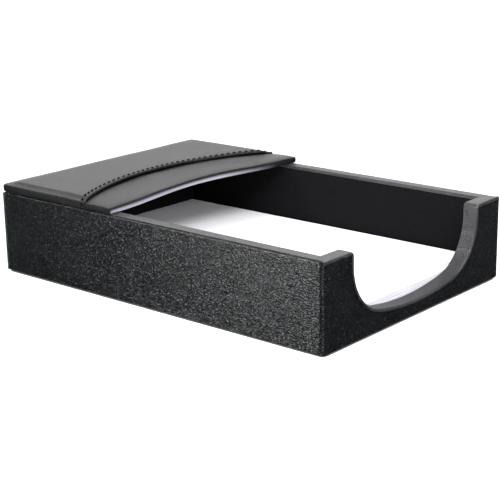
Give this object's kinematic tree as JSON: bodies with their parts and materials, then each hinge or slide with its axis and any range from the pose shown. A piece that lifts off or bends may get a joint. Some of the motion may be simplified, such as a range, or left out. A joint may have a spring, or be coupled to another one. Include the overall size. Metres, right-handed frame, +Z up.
{
  "type": "memo paper holder",
  "caption": "Leather-covered desk tray for a stack of note paper, with a rounded finger cut in the front wall and a padded, stitched top over its rear.",
  "frame": {"origin": "middle of the base, on the surface that the holder stands on", "axes": "+X to the right seen from the front, +Y towards the padded top at the rear, -Y out of the finger cut, +Z up"},
  "size_m": [0.1156, 0.168, 0.0389],
  "materials": {
    "case_leather": "pebble-grained, semi-gloss black",
    "edge_leather": "fine-grained, satin black",
    "top_leather": "fine-grained, softly padded, satin black",
    "lining": "short-napped matte black",
    "base_felt": "pressed black felt",
    "thread": "twisted waxed black thread",
    "fibreboard": "raw medium-density fibreboard",
    "foam": "thin closed-cell foam",
    "brad_steel": "drawn wire",
    "paper": "smooth white writing paper"
  },
  "bodies": {
    "case": {"base_felt": "base_felt", "bottom_board": "fibreboard", "left_wall_board": "fibreboard", "right_wall_board": "fibreboard", "back_wall_board": "fibreboard", "front_wall_board": "fibreboard", "corner_brads": "brad_steel", "left_leather": "case_leather", "right_leather": "case_leather", "back_leather": "case_leather", "front_leather": "case_leather", "left_edge_strip": "edge_leather", "right_edge_strip": "edge_leather", "back_edge_strip": "edge_leather", "front_edge_binding": "edge_leather", "floor_lining": "lining", "left_lining": "lining", "right_lining": "lining", "back_lining": "lining", "front_lining": "lining", "top_board": "fibreboard", "top_lining": "lining", "front_pad_foam": "foam", "front_pad_leather": "top_leather", "flap_foam": "foam", "flap_leather": "top_leather", "flap_stitching": "thread"},
    "note_stack": {"note_stack": "paper"},
    "top_sheets": {"top_sheets": "paper"}
  },
  "joints": [
    {"name": "stack_lift", "type": "hinge", "parent": "case", "child": "note_stack", "pos_m": [0, 0.07485, 0.00985], "axis": [-1, 0, 0], "range_deg": [0, 12]},
    {"name": "top_sheets_lift", "type": "hinge", "parent": "note_stack", "child": "top_sheets", "pos_m": [0, 0.07755, 0.00985], "axis": [-1, 0, 0], "range_deg": [0, 10]}
  ]
}
